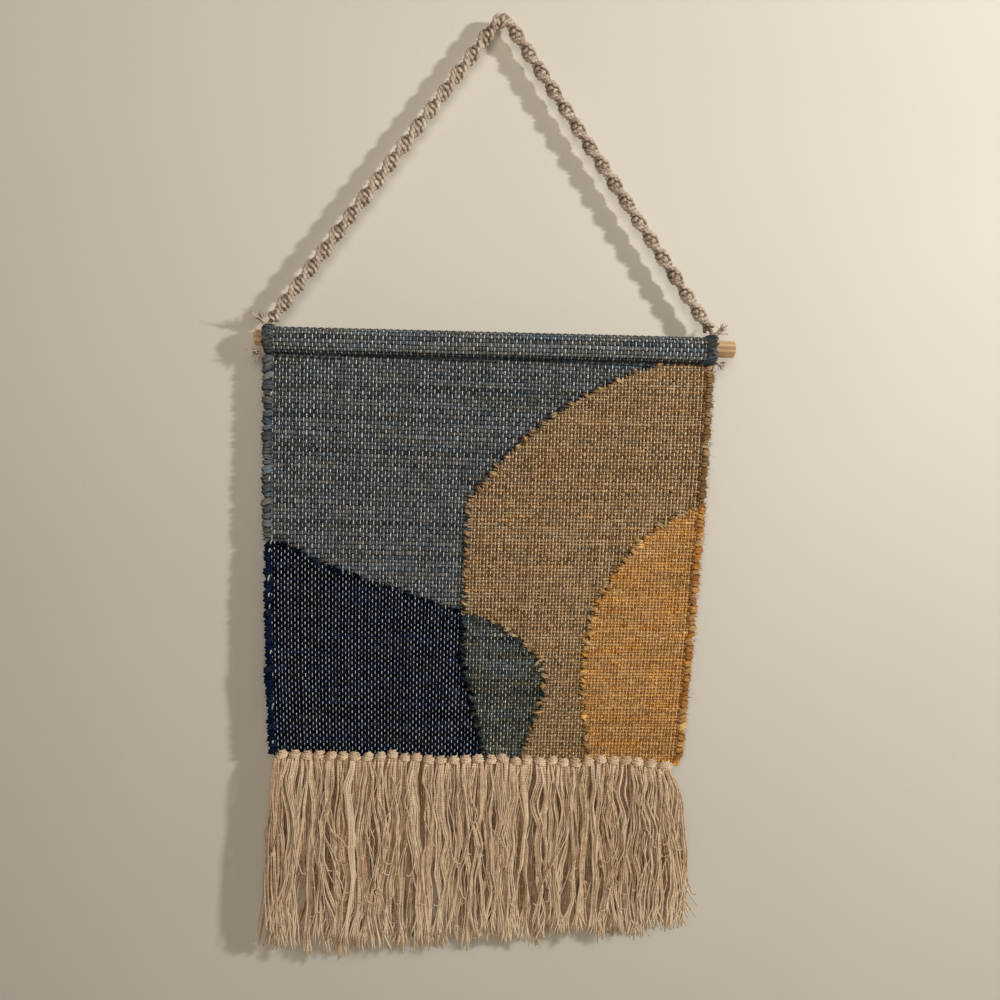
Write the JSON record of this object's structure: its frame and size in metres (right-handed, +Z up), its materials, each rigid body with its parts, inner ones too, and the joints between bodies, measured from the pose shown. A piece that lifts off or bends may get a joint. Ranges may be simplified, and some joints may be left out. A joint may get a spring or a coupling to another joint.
{
  "type": "tapestry wall hanging",
  "caption": "Hand-woven wool panel with curved colour fields, a rod pocket on a wooden dowel, a knotted cord hanger and a cotton tassel fringe.",
  "frame": {"origin": "hang point: the underside of the hanger cord's bend, where it rests on a nail", "axes": "+Z up, -Y towards the viewer, +Y towards the wall, +X to the viewer's right along the dowel"},
  "size_m": [0.4613, 0.024, 0.9055],
  "materials": {
    "wood": "bare light wood dowel with straight grain, lightly sanded",
    "hanger_cord": "taupe-beige cotton cord, knotted in a spiral of half knots",
    "grey_wool": "slate grey-blue hand-spun wool weft over cream cotton warp",
    "tan_wool": "mottled tan hand-spun wool weft",
    "orange_wool": "burnt orange hand-spun wool weft",
    "navy_wool": "deep navy wool weft, cream warp showing as dots",
    "teal_wool": "grey-green wool weft",
    "stitching": "dark grey sewing thread",
    "fringe_cotton": "natural cream cotton threads, matt"
  },
  "bodies": {
    "hanger": {"hanger_cord": "hanger_cord", "hanger_loop_left": "hanger_cord", "hanger_loop_right": "hanger_cord", "tail_left_upper": "hanger_cord", "tail_left_lower": "hanger_cord", "tail_right_upper": "hanger_cord", "tail_right_lower": "hanger_cord"},
    "dowel": {"dowel": "wood"},
    "panel": {"sleeve": "grey_wool", "sleeve_end_left": "grey_wool", "sleeve_end_right": "grey_wool", "sleeve_flap": "grey_wool", "seam_stitching": "stitching", "grey_field": "grey_wool", "tan_field": "tan_wool", "orange_field": "orange_wool", "navy_field": "navy_wool", "teal_field": "teal_wool", "selvedge_left_grey": "grey_wool", "selvedge_left_navy": "navy_wool", "selvedge_right_tan": "tan_wool", "selvedge_right_orange": "orange_wool"},
    "tassel_01": {"tassel_01": "fringe_cotton"},
    "tassel_02": {"tassel_02": "fringe_cotton"},
    "tassel_03": {"tassel_03": "fringe_cotton"},
    "tassel_04": {"tassel_04": "fringe_cotton"},
    "tassel_05": {"tassel_05": "fringe_cotton"},
    "tassel_06": {"tassel_06": "fringe_cotton"},
    "tassel_07": {"tassel_07": "fringe_cotton"},
    "tassel_08": {"tassel_08": "fringe_cotton"},
    "tassel_09": {"tassel_09": "fringe_cotton"},
    "tassel_10": {"tassel_10": "fringe_cotton"},
    "tassel_11": {"tassel_11": "fringe_cotton"},
    "tassel_12": {"tassel_12": "fringe_cotton"},
    "tassel_13": {"tassel_13": "fringe_cotton"},
    "tassel_14": {"tassel_14": "fringe_cotton"},
    "tassel_15": {"tassel_15": "fringe_cotton"},
    "tassel_16": {"tassel_16": "fringe_cotton"},
    "tassel_17": {"tassel_17": "fringe_cotton"},
    "tassel_18": {"tassel_18": "fringe_cotton"},
    "tassel_19": {"tassel_19": "fringe_cotton"},
    "tassel_20": {"tassel_20": "fringe_cotton"},
    "tassel_21": {"tassel_21": "fringe_cotton"},
    "tassel_22": {"tassel_22": "fringe_cotton"},
    "tassel_23": {"tassel_23": "fringe_cotton"},
    "tassel_24": {"tassel_24": "fringe_cotton"},
    "tassel_25": {"tassel_25": "fringe_cotton"},
    "tassel_26": {"tassel_26": "fringe_cotton"},
    "tassel_27": {"tassel_27": "fringe_cotton"},
    "tassel_28": {"tassel_28": "fringe_cotton"},
    "tassel_29": {"tassel_29": "fringe_cotton"},
    "tassel_30": {"tassel_30": "fringe_cotton"},
    "tassel_31": {"tassel_31": "fringe_cotton"},
    "tassel_32": {"tassel_32": "fringe_cotton"}
  },
  "joints": [
    {"name": "dowel_slide", "type": "slide", "parent": "hanger", "child": "dowel", "axis": [1, 0, 0], "range_m": [-0.013, 0.005]},
    {"name": "panel_swing", "type": "hinge", "parent": "hanger", "child": "panel", "pos_m": [0, 0, -0.2935], "axis": [-1, 0, 0], "range_deg": [0, 90]},
    {"name": "tassel_01_swing", "type": "hinge", "parent": "panel", "child": "tassel_01", "pos_m": [-0.1985, 0, -0.7005], "axis": [-1, 0, 0], "range_deg": [-80, 80]},
    {"name": "tassel_02_swing", "type": "hinge", "parent": "panel", "child": "tassel_02", "pos_m": [-0.18646, 0, -0.7005], "axis": [-1, 0, 0], "range_deg": [-80, 80]},
    {"name": "tassel_03_swing", "type": "hinge", "parent": "panel", "child": "tassel_03", "pos_m": [-0.17443, 0, -0.7005], "axis": [-1, 0, 0], "range_deg": [-80, 80]},
    {"name": "tassel_04_swing", "type": "hinge", "parent": "panel", "child": "tassel_04", "pos_m": [-0.16239, 0, -0.7005], "axis": [-1, 0, 0], "range_deg": [-80, 80]},
    {"name": "tassel_05_swing", "type": "hinge", "parent": "panel", "child": "tassel_05", "pos_m": [-0.15036, 0, -0.7005], "axis": [-1, 0, 0], "range_deg": [-80, 80]},
    {"name": "tassel_06_swing", "type": "hinge", "parent": "panel", "child": "tassel_06", "pos_m": [-0.13832, 0, -0.7005], "axis": [-1, 0, 0], "range_deg": [-80, 80]},
    {"name": "tassel_07_swing", "type": "hinge", "parent": "panel", "child": "tassel_07", "pos_m": [-0.12629, 0, -0.7005], "axis": [-1, 0, 0], "range_deg": [-80, 80]},
    {"name": "tassel_08_swing", "type": "hinge", "parent": "panel", "child": "tassel_08", "pos_m": [-0.11425, 0, -0.7005], "axis": [-1, 0, 0], "range_deg": [-80, 80]},
    {"name": "tassel_09_swing", "type": "hinge", "parent": "panel", "child": "tassel_09", "pos_m": [-0.10222, 0, -0.7005], "axis": [-1, 0, 0], "range_deg": [-80, 80]},
    {"name": "tassel_10_swing", "type": "hinge", "parent": "panel", "child": "tassel_10", "pos_m": [-0.09018, 0, -0.7005], "axis": [-1, 0, 0], "range_deg": [-80, 80]},
    {"name": "tassel_11_swing", "type": "hinge", "parent": "panel", "child": "tassel_11", "pos_m": [-0.07815, 0, -0.7005], "axis": [-1, 0, 0], "range_deg": [-80, 80]},
    {"name": "tassel_12_swing", "type": "hinge", "parent": "panel", "child": "tassel_12", "pos_m": [-0.06611, 0, -0.7005], "axis": [-1, 0, 0], "range_deg": [-80, 80]},
    {"name": "tassel_13_swing", "type": "hinge", "parent": "panel", "child": "tassel_13", "pos_m": [-0.05407, 0, -0.7005], "axis": [-1, 0, 0], "range_deg": [-80, 80]},
    {"name": "tassel_14_swing", "type": "hinge", "parent": "panel", "child": "tassel_14", "pos_m": [-0.04204, 0, -0.7005], "axis": [-1, 0, 0], "range_deg": [-80, 80]},
    {"name": "tassel_15_swing", "type": "hinge", "parent": "panel", "child": "tassel_15", "pos_m": [-0.03, 0, -0.7005], "axis": [-1, 0, 0], "range_deg": [-80, 80]},
    {"name": "tassel_16_swing", "type": "hinge", "parent": "panel", "child": "tassel_16", "pos_m": [-0.01797, 0, -0.7005], "axis": [-1, 0, 0], "range_deg": [-80, 80]},
    {"name": "tassel_17_swing", "type": "hinge", "parent": "panel", "child": "tassel_17", "pos_m": [-0.00593, 0, -0.7005], "axis": [-1, 0, 0], "range_deg": [-80, 80]},
    {"name": "tassel_18_swing", "type": "hinge", "parent": "panel", "child": "tassel_18", "pos_m": [0.0061, 0, -0.7005], "axis": [-1, 0, 0], "range_deg": [-80, 80]},
    {"name": "tassel_19_swing", "type": "hinge", "parent": "panel", "child": "tassel_19", "pos_m": [0.01814, 0, -0.7005], "axis": [-1, 0, 0], "range_deg": [-80, 80]},
    {"name": "tassel_20_swing", "type": "hinge", "parent": "panel", "child": "tassel_20", "pos_m": [0.03017, 0, -0.7005], "axis": [-1, 0, 0], "range_deg": [-80, 80]},
    {"name": "tassel_21_swing", "type": "hinge", "parent": "panel", "child": "tassel_21", "pos_m": [0.04221, 0, -0.7005], "axis": [-1, 0, 0], "range_deg": [-80, 80]},
    {"name": "tassel_22_swing", "type": "hinge", "parent": "panel", "child": "tassel_22", "pos_m": [0.05425, 0, -0.7005], "axis": [-1, 0, 0], "range_deg": [-80, 80]},
    {"name": "tassel_23_swing", "type": "hinge", "parent": "panel", "child": "tassel_23", "pos_m": [0.06628, 0, -0.7005], "axis": [-1, 0, 0], "range_deg": [-80, 80]},
    {"name": "tassel_24_swing", "type": "hinge", "parent": "panel", "child": "tassel_24", "pos_m": [0.07832, 0, -0.7005], "axis": [-1, 0, 0], "range_deg": [-80, 80]},
    {"name": "tassel_25_swing", "type": "hinge", "parent": "panel", "child": "tassel_25", "pos_m": [0.09035, 0, -0.7005], "axis": [-1, 0, 0], "range_deg": [-80, 80]},
    {"name": "tassel_26_swing", "type": "hinge", "parent": "panel", "child": "tassel_26", "pos_m": [0.10239, 0, -0.7005], "axis": [-1, 0, 0], "range_deg": [-80, 80]},
    {"name": "tassel_27_swing", "type": "hinge", "parent": "panel", "child": "tassel_27", "pos_m": [0.11442, 0, -0.7005], "axis": [-1, 0, 0], "range_deg": [-80, 80]},
    {"name": "tassel_28_swing", "type": "hinge", "parent": "panel", "child": "tassel_28", "pos_m": [0.12646, 0, -0.7005], "axis": [-1, 0, 0], "range_deg": [-80, 80]},
    {"name": "tassel_29_swing", "type": "hinge", "parent": "panel", "child": "tassel_29", "pos_m": [0.13849, 0, -0.7005], "axis": [-1, 0, 0], "range_deg": [-80, 80]},
    {"name": "tassel_30_swing", "type": "hinge", "parent": "panel", "child": "tassel_30", "pos_m": [0.15053, 0, -0.7005], "axis": [-1, 0, 0], "range_deg": [-80, 80]},
    {"name": "tassel_31_swing", "type": "hinge", "parent": "panel", "child": "tassel_31", "pos_m": [0.16256, 0, -0.7005], "axis": [-1, 0, 0], "range_deg": [-80, 80]},
    {"name": "tassel_32_swing", "type": "hinge", "parent": "panel", "child": "tassel_32", "pos_m": [0.1746, 0, -0.7005], "axis": [-1, 0, 0], "range_deg": [-80, 80]}
  ]
}
